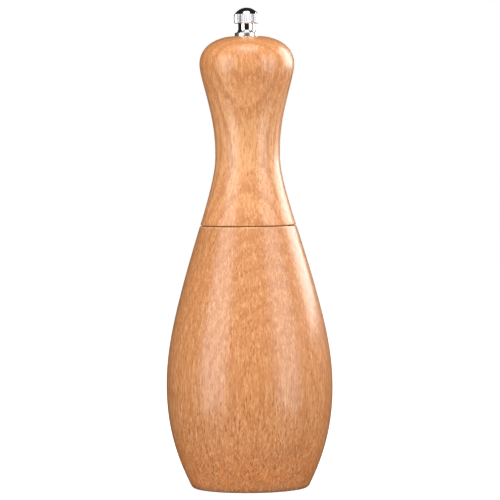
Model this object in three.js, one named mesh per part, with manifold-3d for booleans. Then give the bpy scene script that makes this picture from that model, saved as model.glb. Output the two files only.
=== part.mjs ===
// A turned wooden pepper mill, shaped like a bowling pin. A square shaft keyed to the head
// drives a ceramic grinder, and a ribbed chrome knob on the crown sets the grind.
// Millimetres, +Z up. The origin is on the mill's axis, in the plane that it stands on.

import * as THREE from "three";
import { mergeVertices } from "three/addons/utils/BufferGeometryUtils.js";
import Module from "manifold-3d";

const wasm = await Module();
wasm.setup();

// ---------------------------------------------------------------- driving dimensions

// Clearances
const woodFit = 0.3; // radial, between the turned wood and what sits in it
const runningGap = 0.25; // radial, around what turns, slides or passes through
const seat = 0.05; // between faces that rest on each other
const seamGap = 0.3; // joint line between body and head

// Outline of the body
const bellyRadius = 37.25;
const bellyHeight = 45;
const bodyHeight = 117.5;
const bodyRim = 6.6; // wood around the chamber at the joint line
const seamSlope = 0.315; // radius lost for each unit of height there
const baseRim = 3.75; // wooden ring that the mill stands on
const baseFlare = 0.5; // radius gained for each unit of height at the base
const baseEdge = 1.2; // rounding of the base's outer edge
const edgeBreak = 0.5; // bevel on the other wooden edges

// Outline of the head: each rise is measured from the station before it
const neckRadius = 14.5;
const neckRise = 34;
const headRadius = 21.2;
const headRise = 38.3;
const crownRadius = 6; // where the rounded shoulder meets the flat top
const crownRise = 12.4;

// Handles of the outline's curves, as shares of each curve's height (the last one, of its width)
const baseHandle = 0.246;
const bellyHandles = [0.439, 0.205];
const bodyRimHandle = 0.589;
const headRimHandle = 0.713;
const neckHandles = [0.16, 0.43];
const headHandles = [0.173, 0.745];
const crownHandle = 0.355;

// Bores in the wood
const chamberRadius = 15;
const spigotLength = 17;
const spigotWall = 3.9; // wood around the driver plate
const shaftBoreSpace = 0.7; // around the corners of the square shaft
const crownWeb = 8; // wood that only the thread passes through
const crownHoleSpace = 0.6; // around the thread

// Grinder housing and the bridge that closes it
const housingLedge = 2; // how far the housing stands out past the chamber's wall
const housingWall = 1.4;
const housingAirGap = 1; // above the housing's top
const flangeWidth = 5;
const flangeThickness = 1.8;
const hubWall = 1.7;
const hubHeight = 4.4;
const spokes = 3;
const spokeWidth = 3;
const spokeHeight = 3;
const keys = 3; // ribs that keep the stator from turning
const keyWidth = 2;
const keyDepth = 1;
const keyHeight = 5;
const standoff = 0.8; // from the base plane to the lowest metal
const bridgeThickness = 1.2;
const bridgeArmWidth = 5;
const bridgeHubWall = 3.25;

// Burrs
const statorHeight = 10.6;
const statorRim = 2.15; // ceramic outside the tooth tips at the lower face
const coneSlope = 0.245; // radius gained for each unit of height downwards
const teeth = 30;
const toothDepth = 0.8;
const fineGap = 0.3; // between the burrs at the finest setting
const rotorInset = 0.8; // from the stator's lower face up to the rotor's
const rotorRise = 2.7; // from the stator's upper face up to the rotor's
const rotorRim = 2.1; // ceramic around the carrier's disc
const rotorNeckWall = 1.95;
const fineBandHeight = 6;
const flutes = 6;
const fluteDepth = 1.5;
const fluteTwist = 0.7; // radians

// Shaft and what turns with it
const shaftWidth = 5;
const squareGap = 0.2; // on each side of the shaft in a square hole
const threadStep = 0.5; // from the square's sides in to the thread and journal
const threadPitch = 0.7;
const adjustTurns = 2; // turns of the knob from the coarsest to the finest setting
const shaftEndSpace = 1; // above the square at the finest setting
const threadEndSpace = 0.5; // above the thread at the finest setting
const grooveDepth = 0.6;
const clipLift = 0.6; // above the bridge at the coarsest setting
const clipThickness = 0.7;
const clipWidth = 1.9; // outside the shaft's journal
const washerThickness = 0.6;
const washerWidth = 3;
const carrierWall = 1.4; // around the corners of the square hole
const carrierDiscThickness = 1.5;
const carrierNose = 0.6; // above the rotor
const lugs = 3;
const lugWidth = 2;
const lugHeight = 1.6;
const bushWall = 1.2;
const bushFlangeWidth = 1.2;
const bushFlangeThickness = 1.2;
const springLength = 8;
const springWireRadius = 0.4;
const springTurns = 5;

// Driver plate in the spigot
const plateThickness = 1.2;

// Screws
const mountingScrews = { count: 3, radius: 1.3, headRadius: 2.2, headHeight: 1.3, length: 11 };
const plateScrews = { count: 3, radius: 1.1, headRadius: 1.8, headHeight: 1, length: 8 };

// Knob and its washer
const knobHeight = 11.2;
const knobNeckWall = 1.45; // metal around the tapped hole
const knobNeckHeight = 3.9;
const knobFootFlare = 0.8;
const knobCapFlare = 1.85;
const knobBandBottom = 4.6;
const knobBandTop = 8.3;
const knobCrownWeb = 3.2; // metal above the tapped hole
const knobRibs = 40;
const knobRibDepth = 0.3;
const knobWasherMargin = 0.8; // outside the knob's foot
const knobWasherThickness = 1.5;

// Facets
const woodSegments = 48;
const housingSegments = 36;
const metalSegments = 24;
const screwSegments = 12;
const springSegments = 70;
const curveSteps = 6; // for each curve of a long outline
const smallCurveSteps = 3;

const past = 1; // how far a cut runs past the faces that it opens

// ---------------------------------------------------------------- sizes that follow

const adjustTravel = threadPitch * adjustTurns;
const squareHole = shaftWidth + 2 * squareGap;
const shaftCorner = shaftWidth * Math.SQRT1_2;
const holeCorner = squareHole * Math.SQRT1_2;
const threadRadius = shaftWidth / 2 - threadStep;
const clearHole = threadRadius + runningGap; // for the thread or the journal

const housingRadius = chamberRadius + housingLedge;
const pocketRadius = housingRadius - housingWall;
const flangeRadius = housingRadius + flangeWidth;
const recessRadius = flangeRadius + woodFit;
const mountingCircle = (housingRadius + flangeRadius) / 2;
const baseRadius = recessRadius + baseRim;
const seamRadius = chamberRadius + bodyRim;

const spigotRadius = chamberRadius - woodFit;
const plateRadius = spigotRadius - spigotWall - woodFit;
const shaftBore = shaftCorner + shaftBoreSpace;
const plateCircle = (shaftBore + plateRadius) / 2;

// Heights in the grinder, up from the base plane
const bridgeBottom = standoff + mountingScrews.headHeight + seat;
const bridgeTop = bridgeBottom + bridgeThickness;
const flangeBottom = bridgeTop + seat;
const flangeTop = flangeBottom + flangeThickness;
const recessDepth = flangeTop + seat;
const statorBottom = bridgeTop + 2 * seat;
const statorTop = statorBottom + statorHeight;
const pocketTop = statorTop + seat;
const clipBottom = bridgeTop + clipLift;
const washerBottom = clipBottom + clipThickness + seat;
const carrierBottom = washerBottom + washerThickness + seat;
const carrierDiscTop = carrierBottom + carrierDiscThickness;
const rotorBottom = statorBottom + rotorInset;
const rotorTop = statorTop + rotorRise;
const bandTop = rotorBottom + fineBandHeight;
const carrierTop = rotorTop + carrierNose;
const springBottom = carrierTop + seat;
const bushBottom = springBottom + springLength + seat;
const hubBottom = bushBottom + bushFlangeThickness + seat;
const housingTop = hubBottom + hubHeight;
const chamberFloor = housingTop + housingAirGap;

// Radii in the grinder
const carrierRadius = holeCorner + carrierWall;
const bushRadius = holeCorner + bushWall;
const hubBore = bushRadius + runningGap;
const springRadius = (holeCorner + carrierRadius) / 2;
const coneBottomRadius = pocketRadius - runningGap - statorRim;
const coarseGap = fineGap + adjustTravel * coneSlope;
const carrierDiscRadius = rotorRadius(rotorBottom) - toothDepth - rotorRim - runningGap;

// Heights up from the joint line
const neckHeight = neckRise;
const headHeight = neckHeight + headRise;
const crownHeight = headHeight + crownRise;
const knobFoot = crownHeight + knobWasherThickness + 2 * seat;
const threadTop = knobFoot + knobHeight - knobCrownWeb - threadEndSpace - adjustTravel;
const squareTop = crownHeight - crownWeb - shaftEndSpace - adjustTravel;

// Radius of the stator's tooth tips at a height.
function coneRadius(z) {
  return coneBottomRadius - coneSlope * (z - statorBottom);
}

// Radius of the rotor's tooth tips at a height, at the coarsest setting.
function rotorRadius(z) {
  return coneRadius(z) - coarseGap;
}

// ---------------------------------------------------------------- materials

const wood = new THREE.MeshStandardMaterial({ color: 0xd2925e, roughness: 0.35, metalness: 0 });
const chrome = new THREE.MeshStandardMaterial({ color: 0xe8e8ea, roughness: 0.06, metalness: 1 });
const steel = new THREE.MeshStandardMaterial({ color: 0xb4b6b8, roughness: 0.32, metalness: 1 });
const darkPlastic = new THREE.MeshStandardMaterial({ color: 0x1b1b1d, roughness: 0.5, metalness: 0 });
const palePlastic = new THREE.MeshStandardMaterial({ color: 0xe4e2da, roughness: 0.45, metalness: 0 });
const ceramic = new THREE.MeshStandardMaterial({ color: 0xf1efe8, roughness: 0.3, metalness: 0 });

// ---------------------------------------------------------------- shape helpers

// A closed three.js geometry as a solid that can be cut and joined.
function solid(geometry) {
  geometry.deleteAttribute("normal");
  geometry.deleteAttribute("uv");
  const merged = mergeVertices(geometry, 1e-4);
  const corners = merged.index.array;
  const triVerts = [];
  for (let i = 0; i < corners.length; i += 3) {
    const [a, b, c] = corners.slice(i, i + 3);
    if (a !== b && b !== c && c !== a) {
      triVerts.push(a, b, c);
    }
  }
  return new wasm.Manifold(
    new wasm.Mesh({
      numProp: 3,
      vertProperties: merged.attributes.position.array,
      triVerts: new Uint32Array(triVerts),
    }),
  );
}

// A closed outline of [radius, height] corners, up the outside and down the inside.
function outline(corners) {
  const path = new THREE.Path(corners.map(([r, z]) => new THREE.Vector2(r, z)));
  path.closePath();
  return path;
}

// An outline turned about Z.
function latheGeometry(path, segments, steps) {
  return new THREE.LatheGeometry(path.getPoints(steps), segments).rotateX(Math.PI / 2);
}

function turned(path, segments = metalSegments, steps = curveSteps) {
  return solid(latheGeometry(path, segments, steps));
}

function rod(radius, bottom, top, segments = metalSegments) {
  const geometry = new THREE.CylinderGeometry(radius, radius, top - bottom, segments);
  return solid(geometry.rotateX(Math.PI / 2).translate(0, 0, (top + bottom) / 2));
}

function squareBar(width, bottom, top) {
  return solid(new THREE.BoxGeometry(width, width, top - bottom).translate(0, 0, (top + bottom) / 2));
}

// A bar that points along +X from one radius to another.
function arm(from, to, width, bottom, top) {
  const geometry = new THREE.BoxGeometry(to - from, width, top - bottom);
  return solid(geometry.translate((from + to) / 2, 0, (top + bottom) / 2));
}

// The same solid at equal angles about Z, joined.
function around(count, shape) {
  let all = shape;
  for (let i = 1; i < count; i++) {
    all = all.add(shape.rotate([0, 0, (360 * i) / count]));
  }
  return all;
}

// Holes on a circle for a set of screws, with their clearance.
function screwHoles(screws, circle, clearance, bottom, top) {
  const hole = rod(screws.radius + clearance, bottom, top, screwSegments);
  return around(screws.count, hole.translate([circle, 0, 0]));
}

// A smooth side up through stations of { r, z, slope, below, above }: slope is the radius
// gained for each unit of height, below and above are the handles on the two sides.
function sideCurve(path, stations) {
  for (let i = 1; i < stations.length; i++) {
    const from = stations[i - 1];
    const to = stations[i];
    const out = from.above * (to.z - from.z);
    const into = to.below * (to.z - from.z);
    path.bezierCurveTo(
      from.r + from.slope * out,
      from.z + out,
      to.r - to.slope * into,
      to.z - into,
      to.r,
      to.z,
    );
  }
}

// Scales each point of a turned geometry outwards by a depth that depends on where it is.
function carve(geometry, depthAt) {
  const position = geometry.attributes.position;
  for (let i = 0; i < position.count; i++) {
    const [x, y, z] = [position.getX(i), position.getY(i), position.getZ(i)];
    const radius = Math.hypot(x, y);
    const scale = 1 + depthAt(radius, Math.atan2(y, x), z) / radius;
    position.setXY(i, x * scale, y * scale);
  }
  return geometry;
}

// 1 in a tooth's groove and 0 on its tip, in a turned geometry with two columns a tooth.
function grooveAt(angle) {
  const column = Math.round((angle * teeth) / Math.PI);
  return Math.abs(column % 2);
}

// Names a solid, gives it its material and puts it in its group.
function addPart(group, name, shape, material) {
  const { vertProperties, triVerts } = shape.getMesh();
  const geometry = new THREE.BufferGeometry();
  geometry.setAttribute("position", new THREE.BufferAttribute(vertProperties, 3));
  geometry.setIndex(new THREE.BufferAttribute(triVerts, 1));
  geometry.computeVertexNormals();
  const mesh = new THREE.Mesh(geometry, material);
  mesh.name = name;
  group.add(mesh);
  return mesh;
}

// ---------------------------------------------------------------- turned wood

function bodyShell() {
  const base = {
    r: baseRadius + baseFlare * baseEdge,
    z: baseEdge,
    slope: baseFlare,
    above: baseHandle,
  };
  const belly = {
    r: bellyRadius,
    z: bellyHeight,
    slope: 0,
    below: bellyHandles[0],
    above: bellyHandles[1],
  };
  const rim = {
    r: seamRadius + seamSlope * edgeBreak,
    z: bodyHeight - edgeBreak,
    slope: -seamSlope,
    below: bodyRimHandle,
  };
  const grinderBore = housingRadius + woodFit;
  const path = new THREE.Path();
  path.moveTo(baseRadius - baseEdge, 0);
  path.quadraticCurveTo(baseRadius, 0, base.r, base.z);
  sideCurve(path, [base, belly, rim]);
  path.lineTo(seamRadius - edgeBreak, bodyHeight);
  path.lineTo(chamberRadius + edgeBreak, bodyHeight);
  path.lineTo(chamberRadius, bodyHeight - edgeBreak);
  path.lineTo(chamberRadius, chamberFloor);
  path.lineTo(grinderBore, chamberFloor);
  path.lineTo(grinderBore, recessDepth);
  path.lineTo(recessRadius, recessDepth);
  path.lineTo(recessRadius, edgeBreak);
  path.lineTo(recessRadius + edgeBreak, 0);
  path.closePath();
  const pilotTop = bridgeBottom + mountingScrews.length + woodFit;
  return turned(path, woodSegments).subtract(
    screwHoles(mountingScrews, mountingCircle, woodFit, recessDepth - past, pilotTop),
  );
}

// z = 0 is the joint line.
function headShell() {
  const crownHole = threadRadius + crownHoleSpace;
  const plateRecess = plateRadius + woodFit;
  const bottom = -spigotLength;
  const recessTop = bottom + plateThickness + seat;
  const rim = {
    r: seamRadius - seamSlope * (seamGap + edgeBreak),
    z: seamGap + edgeBreak,
    slope: -seamSlope,
    above: headRimHandle,
  };
  const neck = {
    r: neckRadius,
    z: neckHeight,
    slope: 0,
    below: neckHandles[0],
    above: neckHandles[1],
  };
  const widest = { r: headRadius, z: headHeight, slope: 0, below: headHandles[0] };
  const path = new THREE.Path();
  path.moveTo(spigotRadius - edgeBreak, bottom);
  path.lineTo(spigotRadius, bottom + edgeBreak);
  path.lineTo(spigotRadius, seamGap);
  path.lineTo(rim.r - edgeBreak, seamGap);
  path.lineTo(rim.r, rim.z);
  sideCurve(path, [rim, neck, widest]);
  path.bezierCurveTo(
    headRadius,
    headHeight + headHandles[1] * crownRise,
    crownRadius + crownHandle * (headRadius - crownRadius),
    crownHeight,
    crownRadius,
    crownHeight,
  );
  path.lineTo(crownHole, crownHeight);
  path.lineTo(crownHole, crownHeight - crownWeb);
  path.lineTo(shaftBore, crownHeight - crownWeb);
  path.lineTo(shaftBore, recessTop);
  path.lineTo(plateRecess, recessTop);
  path.lineTo(plateRecess, bottom);
  path.closePath();
  const pilotTop = bottom + plateScrews.length + woodFit;
  return turned(path, woodSegments).subtract(
    screwHoles(plateScrews, plateCircle, woodFit, recessTop - past, pilotTop),
  );
}

// ---------------------------------------------------------------- screws

// A cross-head screw, point up, with the underside of its head at z = 0.
function screwSolid({ radius, headRadius, headHeight, length }) {
  const path = new THREE.Path();
  path.moveTo(0, -headHeight);
  path.quadraticCurveTo(headRadius, -headHeight, headRadius, -headHeight / 4);
  path.lineTo(headRadius, 0);
  path.lineTo(radius, 0);
  path.lineTo(radius, length - 2 * radius);
  path.lineTo(0, length);
  const slot = arm(-headRadius / 2, headRadius / 2, headRadius / 4, -2 * headHeight, -headHeight / 2);
  const cross = slot.add(slot.rotate([0, 0, 90]));
  return turned(path, screwSegments, smallCurveSteps).subtract(cross);
}

function addScrews(group, name, screws, circle, height) {
  const shape = screwSolid(screws);
  for (let i = 0; i < screws.count; i++) {
    const angle = (2 * Math.PI * i) / screws.count;
    const mesh = addPart(group, `${name}_${i + 1}`, shape, steel);
    mesh.position.set(circle * Math.cos(angle), circle * Math.sin(angle), height);
  }
}

// ---------------------------------------------------------------- grinder, fixed pieces

function grinderHousing() {
  const throatRadius = coneRadius(statorTop) + toothDepth;
  const throatBottom = pocketTop + housingWall;
  const funnelTop = housingTop - spokeHeight - hubHeight;
  const shell = turned(
    outline([
      [flangeRadius, flangeBottom],
      [flangeRadius, flangeTop],
      [housingRadius, flangeTop],
      [housingRadius, housingTop],
      [pocketRadius, housingTop],
      [pocketRadius, funnelTop],
      [throatRadius, throatBottom],
      [throatRadius, pocketTop],
      [pocketRadius, pocketTop],
      [pocketRadius, flangeBottom],
    ]),
    housingSegments,
  );
  const spokeEnd = housingRadius - housingWall / 2;
  const spoke = arm(0, spokeEnd, spokeWidth, housingTop - spokeHeight, housingTop);
  const keyEnd = pocketRadius + housingWall / 2;
  const key = arm(pocketRadius - keyDepth, keyEnd, keyWidth, statorTop - keyHeight, throatBottom - seat);
  return shell
    .add(around(spokes, spoke.rotate([0, 0, 180 / spokes])))
    .add(rod(hubBore + hubWall, hubBottom, housingTop))
    .add(around(keys, key))
    .subtract(rod(hubBore, hubBottom - past, housingTop + past))
    .subtract(screwHoles(mountingScrews, mountingCircle, runningGap, flangeBottom - past, flangeTop + past));
}

function statorBurr() {
  const outer = pocketRadius - runningGap;
  const shape = outline([
    [outer, statorBottom],
    [outer, statorTop],
    [coneRadius(statorTop), statorTop],
    [coneRadius(statorBottom), statorBottom],
  ]);
  const rim = outer - statorRim / 2;
  const teethAt = (r, angle) => (r < rim ? toothDepth * grooveAt(angle) : 0);
  const slotBottom = statorTop - keyHeight - runningGap;
  const slotStart = pocketRadius - keyDepth - runningGap;
  const slot = arm(slotStart, pocketRadius + past, keyWidth + 2 * runningGap, slotBottom, statorTop + past);
  return solid(carve(latheGeometry(shape, 2 * teeth), teethAt)).subtract(around(keys, slot));
}

function bottomBridge() {
  const pad = rod(mountingScrews.headRadius, bridgeBottom, bridgeTop).translate([mountingCircle, 0, 0]);
  const bar = arm(0, mountingCircle, bridgeArmWidth, bridgeBottom, bridgeTop);
  return around(mountingScrews.count, bar.add(pad))
    .add(rod(clearHole + bridgeHubWall, bridgeBottom, bridgeTop))
    .subtract(screwHoles(mountingScrews, mountingCircle, runningGap, bridgeBottom - past, bridgeTop + past))
    .subtract(rod(clearHole, bridgeBottom - past, bridgeTop + past));
}

// ---------------------------------------------------------------- grinder, turning pieces

function rotorBurr() {
  const bore = carrierRadius + runningGap;
  const topRadius = bore + rotorNeckWall;
  const counterbore = carrierDiscRadius + runningGap;
  const counterboreTop = carrierDiscTop + seat;
  const shoulder = rotorRadius(bandTop);
  const feedHeight = rotorTop - bandTop;
  const shape = outline([
    [counterbore, rotorBottom],
    [rotorRadius(rotorBottom) - toothDepth, rotorBottom],
    [rotorRadius(rotorBottom), rotorBottom + toothDepth],
    [shoulder, bandTop],
    [(3 * shoulder + topRadius) / 4, bandTop + feedHeight / 6],
    [(shoulder + topRadius) / 2, bandTop + feedHeight / 2],
    [topRadius, rotorTop - feedHeight / 6],
    [topRadius, rotorTop],
    [bore, rotorTop],
    [bore, counterboreTop],
    [counterbore, counterboreTop],
  ]);
  const depthAt = (r, angle, z) => {
    if (z > rotorBottom + seat && z < bandTop + seat && r > counterbore + seat) {
      return -toothDepth * grooveAt(angle);
    }
    if (z > bandTop + seat && r > bore + seat) {
      const turn = (fluteTwist * (z - bandTop)) / feedHeight;
      return -fluteDepth * (0.5 - 0.5 * Math.cos(flutes * (angle - turn)));
    }
    return 0;
  };
  const slotTop = carrierDiscTop + lugHeight + runningGap;
  const slot = arm(0, counterbore, lugWidth + 2 * runningGap, carrierDiscTop - past, slotTop);
  return solid(carve(latheGeometry(shape, 2 * teeth), depthAt)).subtract(around(lugs, slot));
}

function rotorCarrier() {
  const lug = arm(0, carrierDiscRadius - runningGap, lugWidth, carrierBottom, carrierDiscTop + lugHeight);
  return rod(carrierDiscRadius, carrierBottom, carrierDiscTop)
    .add(rod(carrierRadius, carrierBottom, carrierTop))
    .add(around(lugs, lug))
    .subtract(squareBar(squareHole, carrierBottom - past, carrierTop + past));
}

function rotorWasher() {
  const top = washerBottom + washerThickness;
  return rod(threadRadius + washerWidth, washerBottom, top).subtract(
    rod(clearHole, washerBottom - past, top + past),
  );
}

function retainingClip() {
  const top = clipBottom + clipThickness;
  const outer = threadRadius + clipWidth;
  const inner = threadRadius - grooveDepth + runningGap;
  return rod(outer, clipBottom, top)
    .subtract(rod(inner, clipBottom - past, top + past))
    .subtract(arm(0, outer, 2 * inner, clipBottom - past, top + past));
}

function driveShaft() {
  const squareEnd = bodyHeight + squareTop;
  const threadEnd = bodyHeight + threadTop;
  const grooveRadius = threadRadius - grooveDepth;
  const journal = outline([
    [0, standoff],
    [threadRadius, standoff],
    [threadRadius, clipBottom - seat],
    [grooveRadius, clipBottom - seat],
    [grooveRadius, clipBottom + clipThickness + seat / 2],
    [threadRadius, clipBottom + clipThickness + seat / 2],
    [threadRadius, carrierDiscTop],
    [0, carrierDiscTop],
  ]);
  const thread = outline([
    [0, squareEnd - threadRadius],
    [threadRadius, squareEnd - threadRadius],
    [threadRadius, threadEnd - threadStep],
    [threadRadius - threadStep, threadEnd],
    [0, threadEnd],
  ]);
  return squareBar(shaftWidth, carrierBottom, squareEnd).add(turned(journal)).add(turned(thread));
}

function shaftBush() {
  const bushFlangeTop = bushBottom + bushFlangeThickness;
  return rod(bushRadius + bushFlangeWidth, bushBottom, bushFlangeTop)
    .add(rod(bushRadius, bushBottom, housingTop))
    .subtract(squareBar(squareHole, bushBottom - past, housingTop + past));
}

// The centre line of the spring's wire.
class SpringLine extends THREE.Curve {
  getPoint(share, target = new THREE.Vector3()) {
    const angle = 2 * Math.PI * springTurns * share;
    const margin = springWireRadius + seat;
    const height = springBottom + margin + (springLength - 2 * margin) * share;
    return target.set(springRadius * Math.cos(angle), springRadius * Math.sin(angle), height);
  }
}

function rotorSpring() {
  const wire = new THREE.Shape();
  wire.absarc(0, 0, springWireRadius, 0, 2 * Math.PI);
  const options = { curveSegments: smallCurveSteps, steps: springSegments, extrudePath: new SpringLine() };
  return solid(new THREE.ExtrudeGeometry(wire, options));
}

// ---------------------------------------------------------------- driver plate

// z = 0 is the spigot's lower face.
function driverPlate() {
  return rod(plateRadius, 0, plateThickness)
    .subtract(squareBar(squareHole, -past, plateThickness + past))
    .subtract(screwHoles(plateScrews, plateCircle, runningGap, -past, plateThickness + past));
}

// ---------------------------------------------------------------- knob and washer

function knobWasher() {
  const radius = clearHole + knobNeckWall + knobFootFlare + knobWasherMargin;
  const middle = knobWasherThickness / 2;
  const path = new THREE.Path();
  path.moveTo(radius - middle / 3, 0);
  path.quadraticCurveTo(radius, 0, radius, middle);
  path.quadraticCurveTo(radius, knobWasherThickness, radius - middle, knobWasherThickness);
  path.lineTo(clearHole, knobWasherThickness);
  path.lineTo(clearHole, 0);
  path.closePath();
  return turned(path, metalSegments, smallCurveSteps);
}

// z = 0 is the underside of the knob's foot.
function knob() {
  const neck = clearHole + knobNeckWall;
  const cap = neck + knobCapFlare;
  const ribRoot = cap - knobRibDepth;
  const holeTop = knobHeight - knobCrownWeb;
  const waist = knobNeckHeight / 2;
  const domeHeight = knobHeight - knobBandTop;
  const domeRadius = (ribRoot ** 2 + domeHeight ** 2) / (2 * domeHeight);
  const path = new THREE.Path();
  path.moveTo(neck + knobFootFlare, 0);
  path.quadraticCurveTo(neck, waist / 3, neck, waist);
  path.quadraticCurveTo(neck, knobNeckHeight, ribRoot - knobRibDepth, knobNeckHeight);
  path.lineTo(ribRoot, knobBandBottom);
  path.absarc(0, knobHeight - domeRadius, domeRadius, Math.acos(ribRoot / domeRadius), Math.PI / 2);
  path.lineTo(0, holeTop);
  path.lineTo(clearHole, holeTop);
  path.lineTo(clearHole, 0);
  path.closePath();
  return turned(path).add(knobBand(cap, neck));
}

// The ribbed ring around the knob's cap.
function knobBand(outer, inner) {
  const corners = [];
  for (let i = 0; i < 2 * knobRibs; i++) {
    const radius = outer - (i % 2) * knobRibDepth;
    const angle = (Math.PI * i) / knobRibs;
    corners.push(new THREE.Vector2(radius * Math.cos(angle), radius * Math.sin(angle)));
  }
  const options = { depth: knobBandTop - knobBandBottom, bevelEnabled: false };
  const band = new THREE.ExtrudeGeometry(new THREE.Shape(corners), options);
  const core = rod(inner, knobBandBottom - past, knobBandTop + past);
  return solid(band.translate(0, 0, knobBandBottom)).subtract(core);
}

// ---------------------------------------------------------------- assembly

const mill = new THREE.Group();
const body = new THREE.Group();
const spindle = new THREE.Group();
const head = new THREE.Group();
const driver = new THREE.Group();
const finial = new THREE.Group();
mill.add(body, spindle, head);
head.add(driver, finial);
head.position.z = bodyHeight;
driver.position.z = -spigotLength;
finial.position.z = crownHeight + seat;

addPart(body, "body_shell", bodyShell(), wood);
addPart(body, "grinder_housing", grinderHousing(), darkPlastic);
addPart(body, "stator_burr", statorBurr(), ceramic);
addPart(body, "bottom_bridge", bottomBridge(), steel);
addScrews(body, "mounting_screw", mountingScrews, mountingCircle, bridgeBottom - seat);

addPart(spindle, "shaft_bush", shaftBush(), palePlastic);
addPart(spindle, "rotor_spring", rotorSpring(), steel);
addPart(spindle, "drive_shaft", driveShaft(), steel);
addPart(spindle, "rotor_carrier", rotorCarrier(), darkPlastic);
addPart(spindle, "rotor_burr", rotorBurr(), ceramic);
addPart(spindle, "rotor_washer", rotorWasher(), steel);
addPart(spindle, "retaining_clip", retainingClip(), steel);

addPart(head, "head_shell", headShell(), wood);
addPart(driver, "driver_plate", driverPlate(), steel);
addScrews(driver, "plate_screw", plateScrews, plateCircle, -seat);

addPart(finial, "knob_washer", knobWasher(), chrome);
const knobMesh = addPart(finial, "knob", knob(), chrome);
knobMesh.position.z = knobWasherThickness + seat;

export default mill;
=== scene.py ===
"""Looks for a turned wooden pepper mill with a chrome knob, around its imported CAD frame.

Sizes are in millimetres, and heights are from the plane the mill stands on. They become metres as
each mesh is finished. The studio's places are in metres.
"""

import math

import bmesh
import bpy
from mathutils import Matrix, Vector


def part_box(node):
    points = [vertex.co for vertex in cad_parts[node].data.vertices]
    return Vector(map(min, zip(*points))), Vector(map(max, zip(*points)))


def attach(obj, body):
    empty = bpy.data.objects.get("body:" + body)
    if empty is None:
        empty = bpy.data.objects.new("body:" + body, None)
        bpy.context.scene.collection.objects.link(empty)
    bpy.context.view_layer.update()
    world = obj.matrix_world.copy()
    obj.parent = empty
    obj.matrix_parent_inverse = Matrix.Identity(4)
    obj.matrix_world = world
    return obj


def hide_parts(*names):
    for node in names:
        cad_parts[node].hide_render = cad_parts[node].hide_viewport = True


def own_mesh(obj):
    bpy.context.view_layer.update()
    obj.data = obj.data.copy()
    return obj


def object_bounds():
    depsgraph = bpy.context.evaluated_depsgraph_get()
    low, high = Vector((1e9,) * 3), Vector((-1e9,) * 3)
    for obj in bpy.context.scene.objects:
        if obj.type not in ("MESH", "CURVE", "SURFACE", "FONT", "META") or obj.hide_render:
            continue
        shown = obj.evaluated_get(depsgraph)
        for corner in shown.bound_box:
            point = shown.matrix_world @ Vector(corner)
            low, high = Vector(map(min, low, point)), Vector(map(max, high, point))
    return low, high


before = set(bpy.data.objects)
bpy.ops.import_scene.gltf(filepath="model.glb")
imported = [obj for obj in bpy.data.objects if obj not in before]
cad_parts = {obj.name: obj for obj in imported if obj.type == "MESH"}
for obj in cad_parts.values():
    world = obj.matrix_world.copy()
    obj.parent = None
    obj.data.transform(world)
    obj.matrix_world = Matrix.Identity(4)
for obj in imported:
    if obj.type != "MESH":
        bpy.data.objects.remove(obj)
cad_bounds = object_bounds()

MM = 0.001


def low(node):
    """The CAD node's lowest corner, in mm."""
    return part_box(node)[0] / MM


def high(node):
    """The CAD node's highest corner, in mm."""
    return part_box(node)[1] / MM


# ---------------------------------------------------------------- sizes

# Outline of the wood
SEAM_SLOPE = 0.315
SEAM_RADIUS = 21.6
SEAM_GAP = 0.3
BASE_RADIUS = 26.05
BASE_FLARE = 0.5
BASE_EDGE = 1.2
EDGE_BREAK = 0.5
BELLY_HEIGHT = 45
NECK_RADIUS = 14.5
NECK_RISE = 34
HEAD_RADIUS = 21.2
HEAD_RISE = 38.3
CROWN_RADIUS = 6

BELLY_RADIUS = high("body_shell").x
BODY_HEIGHT = high("body_shell").z
CROWN_HEIGHT = high("head_shell").z
SPIGOT_BOTTOM = low("head_shell").z

# Handles of the outline's curves, as shares of a curve's height below and above each station
BASE_HANDLE = 0.246
BELLY_HANDLES = (0.439, 0.205)
BODY_RIM_HANDLE = 0.589
HEAD_RIM_HANDLE = 0.713
NECK_HANDLES = (0.16, 0.43)
HEAD_HANDLES = (0.173, 0.745)
CROWN_HANDLE = 0.355  # a share of the crown's width

# Bores in the wood
CHAMBER_RADIUS = 15
CHAMBER_FLOOR = high("grinder_housing").z + 1
GRINDER_BORE = 17.3
RECESS_RADIUS = 22.3
RECESS_DEPTH = 5.25
SPIGOT_RADIUS = 14.7
SHAFT_BORE = 4.24
CROWN_HOLE = 2.6
CROWN_WEB = 8
PLATE_POCKET_RADIUS = 10.8
PLATE_POCKET_DEPTH = 1.25

# Screws, with each head's radius and height
MOUNTING_SCREW = 1.3
MOUNTING_HEAD = (2.2, 1.3)
MOUNTING_CIRCLE = 19.5
PLATE_SCREW = 1.1
PLATE_HEAD = (1.8, 1.0)
PLATE_CIRCLE = 7.37
SCREW_PITCH = 1.0
SCREW_POINT = 2.2
SCREW_SHANK = 0.6
PILOT_SPACE = 0.3
HOLE_SPACE = 0.25

# Knob, with heights above its foot, and its washer
KNOB_FOOT_RADIUS = 4.5
KNOB_NECK_RADIUS = 3.7
KNOB_CAP_RADIUS = 5.55
KNOB_HOLE_RADIUS = 2.25
KNOB_WAIST = 1.95
KNOB_UNDERSIDE = 4.18
KNOB_BAND_BOTTOM = 4.25
KNOB_BAND_TOP = 8.3
KNOB_CROWN_WEB = 3.2
KNOB_RIBS = 40
KNOB_RIB_DEPTH = 0.3
KNOB_WASHER_RADIUS = 5.3

# Shaft
THREAD_PITCH = 0.7
THREAD_RADIUS = 2.0
GROOVE_DEPTH = 0.6
SHAFT_WIDTH = 5.0
SHAFT_END_SPACE = 2.4
SQUARE_HOLE = 5.4

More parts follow.
